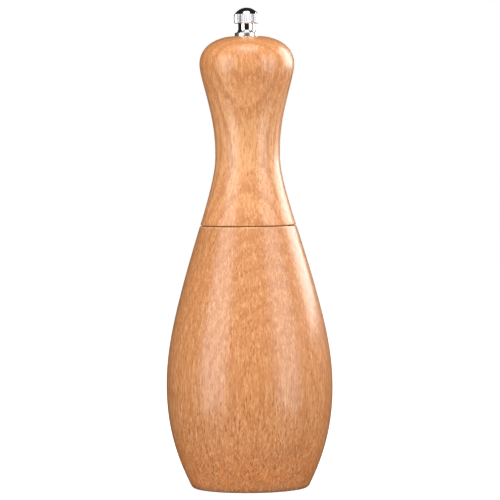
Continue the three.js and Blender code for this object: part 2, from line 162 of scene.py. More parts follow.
# Grinder
HOUSING_RADIUS = 17.0
POCKET_RADIUS = 15.6
FLANGE_RADIUS = 22.0
FLANGE_TOP = 5.2
THROAT_RADIUS = 11.4
THROAT_BOTTOM = 14.1
THROAT_TOP = 15.5
FUNNEL_TOP = 23.7
HUB_BORE = 5.27
HUB_WALL = 1.7
HUB_BOTTOM = 26.7
SPOKE_WIDTH = 3.0
SPOKE_HEIGHT = 3.0
KEY_WIDTH = 2.0
KEY_BOTTOM = 9.05
CONE_SLOPE = 0.245
STATOR_MOUTH = 13.2
STATOR_RIM = 1.07
BURR_GAP = 0.643
TEETH = 30
TOOTH_DEPTH = 0.8
TOOTH_LEAN = 0.035
FLUTES = 6
FLUTE_DEPTH = 1.5
FLUTE_TWIST = 0.7
BAND_TOP = 10.25
ROTOR_NECK_WALL = 1.95
CARRIER_RADIUS = 5.22
CARRIER_DISC = 9.2
CARRIER_DISC_TOP = 6.85
LUG_WIDTH = 2
LUG_HEIGHT = 1.6
BRIDGE_HUB_WALL = 3.25
BRIDGE_ARM_WIDTH = 5
BRIDGE_PAD_RADIUS = 2.2
BUSH_FLANGE = 1.2
CLIP_WIDTH = 1.9
CLIP_WINDOW = 0.75
SPRING_WIRE = 0.4
SPRING_TURNS = 5
SPRING_CLOSED_TURNS = 0.9

# Meshes
WOOD_SEGMENTS = 192
HOUSING_SEGMENTS = 144
ROUND_SEGMENTS = 96
SHARP_DEGREES = 32
BEVEL_DEGREES = 40
PAST = 1  # how far a cutter reaches beyond what it cuts
CRISP = 0.1  # easing of a bore's corners
TINY = 1e-6

# ---------------------------------------------------------------- colours and light

HONEY_LIGHT = (0.84, 0.39, 0.155, 1)
HONEY_DEEP = (0.72, 0.285, 0.095, 1)
RING_COLOUR = (0.60, 0.21, 0.06, 1)
STREAK_COLOUR = (0.60, 0.22, 0.065, 1)
# pale streaks and flecks of the grain; also used for the painted sheen on the neck and the painted highlight
# at the seam
PALE_GRAIN_AND_SHEEN_COLOUR = (0.92, 0.50, 0.24, 1)
# deeper, more saturated brown towards the bottom, partly painted shade where the lower belly turns down from
# the light
FOOT_TONE_AND_SHADE_COLOUR = (0.80, 0.225, 0.035, 1)
# painted contact shadow: the dark brown at the base's bottom edge
CONTACT_SHADOW_COLOUR = (0.28, 0.08, 0.02, 1)
PORE_COLOUR = (0.45, 0.13, 0.03, 1)
BARE_COLOUR = (0.80, 0.60, 0.40, 1)
CHROME_COLOURS = ((0.86, 0.87, 0.89, 1), (0.93, 0.93, 0.94, 1))
STEEL_COLOURS = ((0.52, 0.53, 0.54, 1), (0.70, 0.70, 0.71, 1))
BLACK_COLOURS = ((0.020, 0.020, 0.022, 1), (0.009, 0.009, 0.010, 1))
ACETAL_COLOURS = ((0.80, 0.78, 0.72, 1), (0.68, 0.66, 0.60, 1))
CERAMIC_COLOURS = ((0.86, 0.84, 0.79, 1), (0.74, 0.71, 0.65, 1))
WHITE = (1, 1, 1, 1)
FLOOR_GREY = (0.5, 0.5, 0.5, 1)

# Growth rings of the wood
PITH_DISTANCE = 95
RING_SPACING = 3.6
RING_DRIFT = 6

# Heights between which the wood's look changes, with bands of painted sheen, highlight and shade among them
# painted sheen: the neck made paler where the lacquer shines
NECK_SHEEN_BAND = (118, 150, 160, 185)
# painted highlight on the seam's eased edges, which also lightens the shade in the gap
SEAM_HIGHLIGHT_BAND = (116.6, 117.0, 117.7, 118.0)
# deeper towards the bottom, partly painted shade
FOOT_TONE_AND_SHADE = (34, 2)
# heights of the painted contact shadow along the base's bottom edge
CONTACT_SHADOW_BAND = (3.2, 0.6)
FEWER_PORES = (105, 150)
MORE_PORES = (70, 25)

WORLD_FILL = 0.36
WORLD_GLOSS = 0.02
FLOOR_GLOW = 0.82
CAMERA_LENS = 224.2
CAMERA_PLACE = (0, -1.395, 0.160)
CAMERA_AIM = (0.0007, 0, 0.10655)
CAMERA_ROLL = -0.5

# ---------------------------------------------------------------- mesh helpers


def link(name, data):
    """A new object in the scene."""
    made = bpy.data.objects.new(name, data)
    bpy.context.scene.collection.objects.link(made)
    return made


def smooth(mesh):
    mesh.shade_smooth()
    mesh.set_sharp_from_angle(angle=math.radians(SHARP_DEGREES))


def finish_mesh(bm, name, materials):
    """Turns a bmesh in mm into a smooth-shaded object in metres, with its normals facing out."""
    bmesh.ops.remove_doubles(bm, verts=bm.verts, dist=1e-5)
    bmesh.ops.recalc_face_normals(bm, faces=bm.faces)
    bmesh.ops.transform(bm, matrix=Matrix.Scale(MM, 4), verts=bm.verts)
    mesh = bpy.data.meshes.new(name)
    bm.to_mesh(mesh)
    bm.free()
    smooth(mesh)
    for material in materials:
        mesh.materials.append(material)
    return link(name, mesh)


def bezier(start, out, into, end, steps):
    """Points after the start of a cubic curve, up to its end."""
    handles = (start, out, into, end)
    points = []
    for i in range(1, steps + 1):
        t = i / steps
        weights = ((1 - t) ** 3, 3 * t * (1 - t) ** 2, 3 * t * t * (1 - t), t ** 3)
        points.append(tuple(sum(w * p[k] for w, p in zip(weights, handles)) for k in (0, 1)))
    return points


def side_curve(stations, steps=24):
    """A smooth side through stations of (radius, height, slope, handle below, handle above)."""
    points = [stations[0][:2]]
    for (r0, z0, slope0, _, above), (r1, z1, slope1, below, _) in zip(stations, stations[1:]):
        up = above * (z1 - z0)
        down = below * (z1 - z0)
        out = (r0 + slope0 * up, z0 + up)
        into = (r1 - slope1 * down, z1 - down)
        points += bezier((r0, z0), out, into, (r1, z1), steps)
    return points


def straight(start, end, steps):
    """Points after the start of a line, up to its end."""
    return [tuple(a + (b - a) * i / steps for a, b in zip(start, end)) for i in range(1, steps + 1)]


def rounded(corners, steps=4):
    """A closed outline of (radius, height, easing) corners; those without an easing stay sharp."""
    points = []
    count = len(corners)
    for i, corner in enumerate(corners):
        here = Vector(corner[:2])
        if len(corner) == 2:
            points.append(tuple(here))
            continue
        before = Vector(corners[i - 1][:2]) - here
        after = Vector(corners[(i + 1) % count][:2]) - here
        ease = min(corner[2], 0.45 * before.length, 0.45 * after.length)
        start = here + ease * before.normalized()
        end = here + ease * after.normalized()
        for k in range(steps + 1):
            t = k / steps
            points.append(tuple((1 - t) ** 2 * start + 2 * t * (1 - t) * here + t * t * end))
    return points


def revolve(bm, outline, segments, shift=None, material_at=None):
    """Turns a closed outline of (radius, height) about Z.

    shift(radius, angle, height) gives a point's new radius. material_at(radius, height) gives the
    material's number on a strip, from the strip's first radius and middle height.
    """
    rings = []
    for radius, height in outline:
        if radius < TINY:
            rings.append([bm.verts.new((0, 0, height))])
            continue
        ring = []
        for k in range(segments):
            angle = 2 * math.pi * k / segments
            r = shift(radius, angle, height) if shift else radius
            ring.append(bm.verts.new((r * math.cos(angle), r * math.sin(angle), height)))
        rings.append(ring)
    for i, lower in enumerate(rings):
        following = (i + 1) % len(rings)
        upper = rings[following]
        if len(lower) == 1 and len(upper) == 1:
            continue
        middle = (outline[i][1] + outline[following][1]) / 2
        number = material_at(outline[i][0], middle) if material_at else 0
        for k in range(segments):
            n = (k + 1) % segments
            below = [lower[k % len(lower)], lower[n % len(lower)]]
            above = [upper[n % len(upper)], upper[k % len(upper)]]
            face = bm.faces.new(list(dict.fromkeys(below + above)))
            face.material_index = number


def turned(name, outline, segments, materials, shift=None, material_at=None):
    """A piece made by turning a closed outline about Z."""
    bm = bmesh.new()
    revolve(bm, outline, segments, shift, material_at)
    return finish_mesh(bm, name, materials)


def settle(piece, helpers=()):
    """Keeps what the piece's modifiers make and drops the modifiers and the helper objects."""
    graph = bpy.context.evaluated_depsgraph_get()
    made = bpy.data.meshes.new_from_object(piece.evaluated_get(graph))
    piece.modifiers.clear()
    piece.data = made
    smooth(made)
    for helper in helpers:
        bpy.data.objects.remove(helper)
    return piece


def combine(piece, others, operation):
    """Joins the others to the piece (UNION) or cuts them out of it (DIFFERENCE)."""
    for other in others:
        change = piece.modifiers.new(operation, "BOOLEAN")
        change.operation = operation
        change.solver = "EXACT"
        change.object = other
    return settle(piece, others)


def soften(piece, width, segments=2):
    """Rounds the piece's sharp edges."""
    bevel = piece.modifiers.new("soft_edges", "BEVEL")
    bevel.width = width * MM
    bevel.segments = segments
    bevel.limit_method = "ANGLE"
    bevel.angle_limit = math.radians(BEVEL_DEGREES)
    return settle(piece)


def thirds(first=0):
    """Three equal steps round a circle, in degrees."""
    return [first + 360 * i / 3 for i in range(3)]


def out_at(radius, degrees):
    """The point at a radius, degrees round from X."""
    angle = math.radians(degrees)
    return (radius * math.cos(angle), radius * math.sin(angle))


def rod(radius, bottom, top, centre=(0, 0), segments=64, material_index=0):
    bm = bmesh.new()
    middle = Matrix.Translation((centre[0], centre[1], (bottom + top) / 2))
    sizes = {"radius1": radius, "radius2": radius, "depth": top - bottom}
    bmesh.ops.create_cone(bm, cap_ends=True, segments=segments, matrix=middle, **sizes)
    for face in bm.faces:
        face.material_index = material_index
    return finish_mesh(bm, "rod", [])


def three_rods(radius, bottom, top, circle, segments=32, material_index=0):
    """Rods at equal steps round a circle, to cut screw holes with."""
    centres = [out_at(circle, degrees) for degrees in thirds()]
    return [rod(radius, bottom, top, centre, segments, material_index) for centre in centres]


def arm(start, end, width, bottom, top, degrees=0):
    """A block from start to end along a line out from the axis, degrees round from X."""
    bm = bmesh.new()
    size = Matrix.Diagonal((end - start, width, top - bottom, 1))
    middle = Matrix.Translation(((start + end) / 2, 0, (bottom + top) / 2))
    turn = Matrix.Rotation(math.radians(degrees), 4, "Z")
    bmesh.ops.create_cube(bm, size=1, matrix=turn @ middle @ size)
    return finish_mesh(bm, "arm", [])


def three_arms(start, end, width, bottom, top, first=0):
    """Blocks at equal steps round the axis."""
    return [arm(start, end, width, bottom, top, degrees) for degrees in thirds(first)]


def square_bar(width, bottom, top):
    return arm(-width / 2, width / 2, width, bottom, top)


def stand_for(piece, body, node_name):
    """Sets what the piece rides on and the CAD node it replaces."""
    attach(piece, body)
    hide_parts(node_name)
    return piece


# ---------------------------------------------------------------- node helpers


def node(tree, kind, inputs=None, **settings):
    """Adds a shader node. Inputs are sockets to link from or values to set."""
    made = tree.nodes.new(kind)
    for key, value in settings.items():
        setattr(made, key, value)
    for key, value in (inputs or {}).items():
        if isinstance(value, bpy.types.NodeSocket):
            tree.links.new(value, made.inputs[key])
        else:
            made.inputs[key].default_value = value
    return made


def calc(tree, operation, *values):
    return node(tree, "ShaderNodeMath", dict(enumerate(values)), operation=operation).outputs[0]


def times(tree, a, b):
    return calc(tree, "MULTIPLY", a, b)


def fade(tree, value, start, end, low_value=0.0, high_value=1.0):
    """Runs smoothly from low_value to high_value as value goes from start to end."""
    inputs = {"Value": value, "From Min": start, "From Max": end}
    inputs.update({"To Min": low_value, "To Max": high_value})
    return node(tree, "ShaderNodeMapRange", inputs, interpolation_type="SMOOTHSTEP").outputs["Result"]


def within(tree, value, start, full, fading, end):
    """1 from full to fading, and 0 before start and after end."""
    return times(tree, fade(tree, value, start, full), fade(tree, value, end, fading))


def stretched(tree, place, x, y, z):
    """The place with each axis scaled."""
    return node(tree, "ShaderNodeVectorMath", {0: place, 1: (x, y, z)}, operation="MULTIPLY").outputs[0]


def noise(tree, place, scales, detail=2.0, roughness=0.5):
    """Noise of about 0 to 1, with a scale along each axis."""
    scaled = stretched(tree, place, *scales)
    inputs = {"Vector": scaled, "Scale": 1.0, "Detail": detail, "Roughness": roughness}
    return node(tree, "ShaderNodeTexNoise", inputs).outputs["Fac"]


def mix(tree, share, a, b, blend="MIX"):
    inputs = {"Factor": share, "A": a, "B": b}
    made = node(tree, "ShaderNodeMix", inputs, data_type="RGBA", blend_type=blend)
    return made.outputs["Result"]


def bump(tree, shader, height, strength, distance_mm):
    inputs = {"Height": height, "Strength": strength, "Distance": distance_mm * MM}
    made = node(tree, "ShaderNodeBump", inputs)
    tree.links.new(made.outputs["Normal"], shader.inputs["Normal"])
    return made.outputs["Normal"]


def new_material(name):
    """A material, its node tree, its shader and the place on the piece in mm."""
    material = bpy.data.materials.new(name)
    material.use_nodes = True
    tree = material.node_tree
    place = node(tree, "ShaderNodeTexCoord").outputs["Object"]
    place_mm = stretched(tree, place, 1 / MM, 1 / MM, 1 / MM)
    return material, tree, tree.nodes["Principled BSDF"], place_mm


# ---------------------------------------------------------------- materials


def late_wood(tree, place, ring_turn, ring_lean):
    """1 on the dark edge of each growth ring.

    The rings are shells round a pith well behind the piece, ring_turn degrees round from -Y, so they
    show as nested ovals where the front bulges. ring_lean tips the pith.
    """
    turn = math.radians(ring_turn)
    part = node(tree, "ShaderNodeSeparateXYZ", {0: place})
    across = calc(tree, "ADD", part.outputs[0], PITH_DISTANCE * math.sin(turn))
    along = calc(tree, "SUBTRACT", part.outputs[1], PITH_DISTANCE * math.cos(turn))
    squares = calc(tree, "ADD", calc(tree, "POWER", across, 2.0), calc(tree, "POWER", along, 2.0))
    leaning = calc(tree, "ADD", calc(tree, "SQRT", squares), times(tree, part.outputs[2], ring_lean))
    drift = times(tree, noise(tree, place, (0.05, 0.05, 0.022)), RING_DRIFT)
    depth = calc(tree, "ADD", leaning, drift)
    ring = calc(tree, "FRACT", calc(tree, "DIVIDE", depth, RING_SPACING))
    return within(tree, ring, 0.25, 0.85, 0.88, 1.0)


def pore_mask(tree, place, density, length):
    """1 inside the wood's long pores, which run along Z."""
    cells = stretched(tree, place, density, density, density * length)
    inputs = {"Vector": cells, "Scale": 1.0, "Randomness": 1.0}
    distance = node(tree, "ShaderNodeTexVoronoi", inputs, feature="F1").outputs["Distance"]
    return fade(tree, distance, 0.34, 0.16)


def wood_material(name, ring_turn, ring_lean, ring_share, least_deep, lacquered, painted_shade_tone=1.0):
    """Honey-coloured hardwood, with pores in patches, a deeper foot that is partly painted shade, a paler
    neck that is painted sheen, a painted highlight at the seam and a painted contact shadow along the base's
    edge.

    least_deep is the least share of the deep honey colour, and the last argument, when below 1, darkens all
    of it as painted shade.
    """
    material, tree, shader, place = new_material(name)
    height = node(tree, "ShaderNodeSeparateXYZ", {0: place}).outputs[2]
    streaks = noise(tree, place, (1.0, 1.0, 0.07), 4.0, 0.62)
    fibre = noise(tree, place, (3.2, 3.2, 0.3), 3.0, 0.6)
    cloud = noise(tree, place, (0.07, 0.07, 0.018))
    patches = noise(tree, place, (0.12, 0.12, 0.05))
    pores = pore_mask(tree, place, 0.75, 0.22)
    fine_pores = pore_mask(tree, place, 1.2, 0.3)
    flecks = pore_mask(tree, stretched(tree, place, -1, 1, -1), 1.1, 0.15)
    rings = late_wood(tree, place, ring_turn, ring_lean)

    high_up = fade(tree, height, *FEWER_PORES, 0.0, -0.14)
    low_down = fade(tree, height, *MORE_PORES, 0.0, 0.2)
    patchy = calc(tree, "ADD", fade(tree, patches, 0.35, 0.65, 0.3, 0.65), high_up)
    pore_share = calc(tree, "ADD", patchy, low_down)
    layers = [
        # painted sheen: the neck made paler where the lacquer shines
        (times(tree, within(tree, height, *NECK_SHEEN_BAND), 0.45), PALE_GRAIN_AND_SHEEN_COLOUR),
        # deeper towards the bottom, partly painted shade
        (times(tree, fade(tree, height, *FOOT_TONE_AND_SHADE), 0.78), FOOT_TONE_AND_SHADE_COLOUR),
        # painted contact shadow along the base's bottom edge
        (times(tree, fade(tree, height, *CONTACT_SHADOW_BAND), 0.9), CONTACT_SHADOW_COLOUR),
        # painted highlight on the seam's eased edges, lightening the shade in the gap
        (times(tree, within(tree, height, *SEAM_HIGHLIGHT_BAND), 0.8), PALE_GRAIN_AND_SHEEN_COLOUR),
        (times(tree, rings, ring_share), RING_COLOUR),
        (fade(tree, streaks, 0.5, 0.7, 0.0, 0.75), PALE_GRAIN_AND_SHEEN_COLOUR),
        (fade(tree, streaks, 0.5, 0.3, 0.0, 0.75), STREAK_COLOUR),
        (fade(tree, fibre, 0.5, 0.72, 0.0, 0.55), PALE_GRAIN_AND_SHEEN_COLOUR),
        (fade(tree, fibre, 0.48, 0.27, 0.0, 0.55), STREAK_COLOUR),
        (times(tree, flecks, 0.5), PALE_GRAIN_AND_SHEEN_COLOUR),
        (times(tree, fine_pores, pore_share), PORE_COLOUR),
        (times(tree, pores, pore_share), PORE_COLOUR),
    ]
    if not lacquered:
        layers.append((0.35, BARE_COLOUR))
    colour = mix(tree, fade(tree, cloud, 0.3, 0.7, least_deep, 1.0), HONEY_LIGHT, HONEY_DEEP)
    for share, tint in layers:
        colour = mix(tree, share, colour, tint)
    # painted shade: the whole colour darkened by the last argument
    colour = mix(tree, 1.0, colour, (painted_shade_tone, painted_shade_tone, painted_shade_tone, 1), "MULTIPLY")
    tree.links.new(colour, shader.inputs["Base Color"])

    smoothest, roughest = (0.40, 0.52) if lacquered else (0.62, 0.75)
    tree.links.new(fade(tree, fibre, 0.2, 0.8, smoothest, roughest), shader.inputs["Roughness"])
    shader.inputs["Specular IOR Level"].default_value = 0.35
    relief = calc(tree, "SUBTRACT", times(tree, streaks, 1.2), times(tree, pores, 0.5))
    skin = bump(tree, shader, relief, 0.35, 0.05)
    if lacquered:
        shader.inputs["Coat Weight"].default_value = 0.9
        shader.inputs["Coat Roughness"].default_value = 0.22
        shader.inputs["Coat IOR"].default_value = 1.5
        tree.links.new(skin, shader.inputs["Coat Normal"])
    return material


def chrome_material(name, smoothest, roughest):
    """Chrome with a faint haze, which takes it from smoothest to roughest."""
    material, tree, shader, place = new_material(name)
    shader.inputs["Metallic"].default_value = 1.0
    haze = noise(tree, place, (0.5, 0.5, 0.5), 3.0)
    tree.links.new(fade(tree, haze, 0.3, 0.7, smoothest, roughest), shader.inputs["Roughness"])
    tree.links.new(mix(tree, haze, *CHROME_COLOURS), shader.inputs["Base Color"])
    return material


def steel_material():
    """Plated steel with faint brush marks."""
    material, tree, shader, place = new_material("plated_steel_look")
    shader.inputs["Metallic"].default_value = 1.0
    brushed = noise(tree, place, (0.6, 0.6, 5.0), 4.0, 0.6)
    haze = noise(tree, place, (0.8, 0.8, 0.8), 3.0)
    tree.links.new(fade(tree, haze, 0.3, 0.7, 0.24, 0.40), shader.inputs["Roughness"])
    tree.links.new(mix(tree, brushed, *STEEL_COLOURS), shader.inputs["Base Color"])
    bump(tree, shader, brushed, 0.15, 0.02)
    return material


def moulded_material(name, colours, rough, grain, speckle):
    """A moulded plastic or pressed ceramic, with faint mottling, specks and a fine grain."""
    material, tree, shader, place = new_material(name)
    light, dark = colours
    mottle = noise(tree, place, (0.35, 0.35, 0.35), 4.0, 0.6)
    grains = noise(tree, place, (6.0, 6.0, 6.0))
    mottled = mix(tree, fade(tree, mottle, 0.3, 0.7), light, dark)
    spotted = mix(tree, fade(tree, grains, 0.66, 0.74, 0.0, speckle), mottled, dark)
    tree.links.new(spotted, shader.inputs["Base Color"])
    tree.links.new(fade(tree, mottle, 0.3, 0.7, rough, rough + 0.12), shader.inputs["Roughness"])
    bump(tree, shader, grains, grain, 0.03)
    return material


# ---------------------------------------------------------------- wood


def body_wood(materials):
    base = (BASE_RADIUS + BASE_FLARE * BASE_EDGE, BASE_EDGE, BASE_FLARE, 0, BASE_HANDLE)
    belly = (BELLY_RADIUS, BELLY_HEIGHT, 0, *BELLY_HANDLES)
    rim_radius = SEAM_RADIUS + SEAM_SLOPE * EDGE_BREAK
    rim = (rim_radius, BODY_HEIGHT - EDGE_BREAK, -SEAM_SLOPE, BODY_RIM_HANDLE, 0)
    ring_edge = (BASE_RADIUS - BASE_EDGE, 0)
    foot = bezier(ring_edge, (BASE_RADIUS - 0.4, 0), (BASE_RADIUS, 0.3), base[:2], 6)[:-1]
    lip_end = (SEAM_RADIUS - EDGE_BREAK, BODY_HEIGHT)
    lip = bezier(rim[:2], (SEAM_RADIUS + 0.05, BODY_HEIGHT - 0.1), (SEAM_RADIUS, BODY_HEIGHT), lip_end, 4)
    inside = rounded(
        [
            (CHAMBER_RADIUS, BODY_HEIGHT, 0.6),
            (CHAMBER_RADIUS, CHAMBER_FLOOR, CRISP),
            (GRINDER_BORE, CHAMBER_FLOOR, CRISP),
            (GRINDER_BORE, RECESS_DEPTH, CRISP),
            (RECESS_RADIUS, RECESS_DEPTH, CRISP),
            (RECESS_RADIUS, 0, 0.6),
        ]
    )
    outline = [ring_edge, *foot, *side_curve([base, belly, rim]), *lip, *inside]

    def bare_inside(radius, height):
        in_chamber = radius < CHAMBER_RADIUS + 0.1
        in_recess = radius < RECESS_RADIUS + 0.2 and 0.5 < height < RECESS_DEPTH + 0.5
        in_grinder_bore = radius < GRINDER_BORE + 0.2 and height < CHAMBER_FLOOR + 1
        return int(in_chamber or in_recess or in_grinder_bore)

    piece = turned("body_wood", outline, WOOD_SEGMENTS, materials, material_at=bare_inside)
    hole_top = high("mounting_screw_1").z + PILOT_SPACE
    hole = MOUNTING_SCREW + PILOT_SPACE
    combine(piece, three_rods(hole, RECESS_DEPTH - PAST, hole_top, MOUNTING_CIRCLE, 24, 1), "DIFFERENCE")
    return stand_for(piece, "body", "body_shell")


def head_wood(materials):
    bottom = BODY_HEIGHT + SEAM_GAP
    slope_in = SEAM_SLOPE * (SEAM_GAP + EDGE_BREAK)
    rim = (SEAM_RADIUS - slope_in, bottom + EDGE_BREAK, -SEAM_SLOPE, 0, HEAD_RIM_HANDLE)
    neck = (NECK_RADIUS, BODY_HEIGHT + NECK_RISE, 0, *NECK_HANDLES)
    widest_at = BODY_HEIGHT + NECK_RISE + HEAD_RISE
    below, above = HEAD_HANDLES
    widest = (HEAD_RADIUS, widest_at, 0, below, 0)
    crown = bezier(
        widest[:2],
        (HEAD_RADIUS, widest_at + above * (CROWN_HEIGHT - widest_at)),
        (CROWN_RADIUS + CROWN_HANDLE * (HEAD_RADIUS - CROWN_RADIUS), CROWN_HEIGHT),
        (CROWN_RADIUS, CROWN_HEIGHT),
        24,
    )
    edge_start = (rim[0] - EDGE_BREAK, bottom)
    edge = bezier(edge_start, (rim[0] - 0.1, bottom), (rim[0], bottom + 0.1), rim[:2], 4)[:-1]
    pocket_top = SPIGOT_BOTTOM + PLATE_POCKET_DEPTH
    inside = rounded(
        [
            (CROWN_HOLE, CROWN_HEIGHT, 0.4),
            (CROWN_HOLE, CROWN_HEIGHT - CROWN_WEB, CRISP),
            (SHAFT_BORE, CROWN_HEIGHT - CROWN_WEB, CRISP),
            (SHAFT_BORE, pocket_top, CRISP),
            (PLATE_POCKET_RADIUS, pocket_top, CRISP),
            (PLATE_POCKET_RADIUS, SPIGOT_BOTTOM, 0.2),
            (SPIGOT_RADIUS, SPIGOT_BOTTOM, 0.6),
            (SPIGOT_RADIUS, bottom, CRISP),
        ]
    )
    outline = [edge_start, *edge, *side_curve([rim, neck, widest]), *crown, *inside]

    def bare_inside(radius, height):
        on_spigot = radius < SPIGOT_RADIUS + 0.1 and height < bottom + 0.05
        in_bore = radius < SHAFT_BORE + 0.1 and height < CROWN_HEIGHT - 1
        return int(on_spigot or in_bore)

    piece = turned("head_wood", outline, WOOD_SEGMENTS, materials, material_at=bare_inside)
    hole_top = high("plate_screw_1").z + PILOT_SPACE
    hole = PLATE_SCREW + PILOT_SPACE
    combine(piece, three_rods(hole, SPIGOT_BOTTOM + 0.5, hole_top, PLATE_CIRCLE, 24, 1), "DIFFERENCE")
    return stand_for(piece, "head", "head_shell")


# ---------------------------------------------------------------- knob


def dome(radius, bottom, top, steps=18):
    """Points of a spherical cap, from its edge up to the axis."""
    sag = top - bottom
    sphere = (radius ** 2 + sag ** 2) / (2 * sag)
    reach = math.asin(radius / sphere)
    points = []
    for i in range(steps):
        angle = reach * (1 - i / steps)
        points.append((sphere * math.sin(angle), top - sphere * (1 - math.cos(angle))))
    return [*points, (0, top)]


def knob_piece(material):
    foot_z, top_z = low("knob").z, high("knob").z
    foot, neck, cap, hole = KNOB_FOOT_RADIUS, KNOB_NECK_RADIUS, KNOB_CAP_RADIUS, KNOB_HOLE_RADIUS
    root = cap - KNOB_RIB_DEPTH
    waist, under = foot_z + KNOB_WAIST, foot_z + KNOB_UNDERSIDE
    band_bottom, band_top = foot_z + KNOB_BAND_BOTTOM, foot_z + KNOB_BAND_TOP
    hole_top = top_z - KNOB_CROWN_WEB
    lower = bezier((foot, foot_z), (foot - 0.5, foot_z + 0.5), (neck, waist - 1.0), (neck, waist), 10)
    upper = bezier((neck, waist), (neck, under - 0.3), (neck, under), (neck + 0.25, under), 10)
    band_shares = (0, 0.04, 0.08, 0.5, 0.92, 0.96, 1)
    thread_rows = 72
    outline = [
        (foot - 0.15, foot_z),
        (foot, foot_z + 0.12),
        *lower[1:],
        *upper,
        (root - 0.1, under),
        (root - 0.05, under + 0.03),
        *[(cap, band_bottom + share * (band_top - band_bottom)) for share in band_shares],
        *dome(root, band_top, top_z),
        (0, hole_top),
        (hole, hole_top),
        *straight((hole, hole_top), (hole, foot_z + 0.3), thread_rows),
        (hole + 0.2, foot_z),
    ]

    def ribs_and_thread(radius, angle, height):
        if radius > cap - 0.01:
            crest = abs(math.sin(KNOB_RIBS * angle / 2))
            ease = min(1.0, max(0.0, min(height - band_bottom, band_top - height) / 0.3))
            return cap - KNOB_RIB_DEPTH * (1 - crest) * ease - 0.25 * (1 - ease) ** 2
        if abs(radius - hole) < TINY:
            return hole + 0.12 * math.cos(angle - 2 * math.pi * height / THREAD_PITCH)
        return radius

    piece = turned("chrome_knob", outline, KNOB_RIBS * 8, [material], shift=ribs_and_thread)
    return stand_for(piece, "knob", "knob")


def knob_washer_piece(material):
    bottom, top = low("knob_washer").z, high("knob_washer").z
    radius, hole = KNOB_WASHER_RADIUS, THREAD_RADIUS + HOLE_SPACE
    corners = [(radius, bottom, 0.15), (radius, top, 0.3), (hole, top, 0.1), (hole, bottom, 0.1)]
    piece = turned("chrome_washer", rounded(corners, steps=8), ROUND_SEGMENTS, [material])
    return stand_for(piece, "knob_washer", "knob_washer")


# ---------------------------------------------------------------- grinder, fixed pieces


def cone_radius(z):
    """The stator's tooth tips."""
    return STATOR_MOUTH - CONE_SLOPE * (z - low("stator_burr").z)


def tooth(angle, z):
    """0 on a tooth's tip and 1 at the groove's root; the teeth lean, with one steep face each."""
    share = (TEETH * (angle / (2 * math.pi)) + TOOTH_LEAN * z * TEETH / 6) % 1
    return min(share / 0.7, (1 - share) / 0.18, 1.0) if share > 0.12 else 0.0


def grinder_housing(material):
    bottom, top = low("grinder_housing").z, high("grinder_housing").z
    outline = rounded(
        [
            (FLANGE_RADIUS, bottom, 0.2),
            (FLANGE_RADIUS, FLANGE_TOP, 0.3),
            (HOUSING_RADIUS, FLANGE_TOP, 0.4),
            (HOUSING_RADIUS, top, 0.3),
            (POCKET_RADIUS, top, 0.3),
            (POCKET_RADIUS, FUNNEL_TOP, 0.5),
            (THROAT_RADIUS, THROAT_TOP, 0.4),
            (THROAT_RADIUS, THROAT_BOTTOM, CRISP),
            (POCKET_RADIUS, THROAT_BOTTOM, CRISP),
            (POCKET_RADIUS, bottom, 0.2),
        ]
    )
    piece = turned("housing", outline, HOUSING_SEGMENTS, [material])
    spokes = three_arms(0, HOUSING_RADIUS - 0.7, SPOKE_WIDTH, top - SPOKE_HEIGHT, top, first=60)
    keys = three_arms(POCKET_RADIUS - 1, POCKET_RADIUS + 0.7, KEY_WIDTH, KEY_BOTTOM, THROAT_TOP - 0.05)
    hub = rod(HUB_BORE + HUB_WALL, HUB_BOTTOM, top)
    combine(piece, [*spokes, hub, *keys], "UNION")
    shaft_hole = rod(HUB_BORE, HUB_BOTTOM - PAST, top + PAST)
    screw_holes = three_rods(MOUNTING_SCREW + HOLE_SPACE, bottom - PAST, FLANGE_TOP + PAST, MOUNTING_CIRCLE)
    combine(piece, [shaft_hole, *screw_holes], "DIFFERENCE")
    soften(piece, 0.15)
    return stand_for(piece, "body", "grinder_housing")


def stator_burr(material):
    bottom, top = low("stator_burr").z, high("stator_burr").z
    outer = high("stator_burr").x
    rim = outer - STATOR_RIM
    rows = 14
    levels = [bottom + (top - bottom) * i / rows for i in range(rows, -1, -1)]
    outline = [(cone_radius(z), z) for z in levels]
    outline += [(outer - 0.3, bottom), (outer, bottom + 0.3), (outer, top - 0.3), (outer - 0.3, top)]

    def toothed(r, angle, z):
        return r + TOOTH_DEPTH * tooth(angle, z) if r < rim else r

    piece = turned("stator", outline, TEETH * 14, [material], shift=toothed)
    slot_width = KEY_WIDTH + 2 * HOLE_SPACE
    slot_bottom = KEY_BOTTOM - HOLE_SPACE
    slots = three_arms(POCKET_RADIUS - 1.25, POCKET_RADIUS + PAST, slot_width, slot_bottom, top + PAST)
    combine(piece, slots, "DIFFERENCE")
    return stand_for(piece, "body", "stator_burr")


def bottom_bridge(material):
    bottom, top = low("bottom_bridge").z, high("bottom_bridge").z
    hole = THREAD_RADIUS + HOLE_SPACE
    piece = rod(hole + BRIDGE_HUB_WALL, bottom, top)
    piece.name = "bridge"
    piece.data.materials.append(material)
    for degrees in thirds():
        pad = rod(BRIDGE_PAD_RADIUS, bottom, top, out_at(MOUNTING_CIRCLE, degrees), 48)
        combine(piece, [arm(0, MOUNTING_CIRCLE, BRIDGE_ARM_WIDTH, bottom, top, degrees), pad], "UNION")
    screw_holes = three_rods(MOUNTING_SCREW + HOLE_SPACE, bottom - PAST, top + PAST, MOUNTING_CIRCLE)
    combine(piece, [rod(hole, bottom - PAST, top + PAST), *screw_holes], "DIFFERENCE")
    soften(piece, 0.18, 3)
    return stand_for(piece, "body", "bottom_bridge")


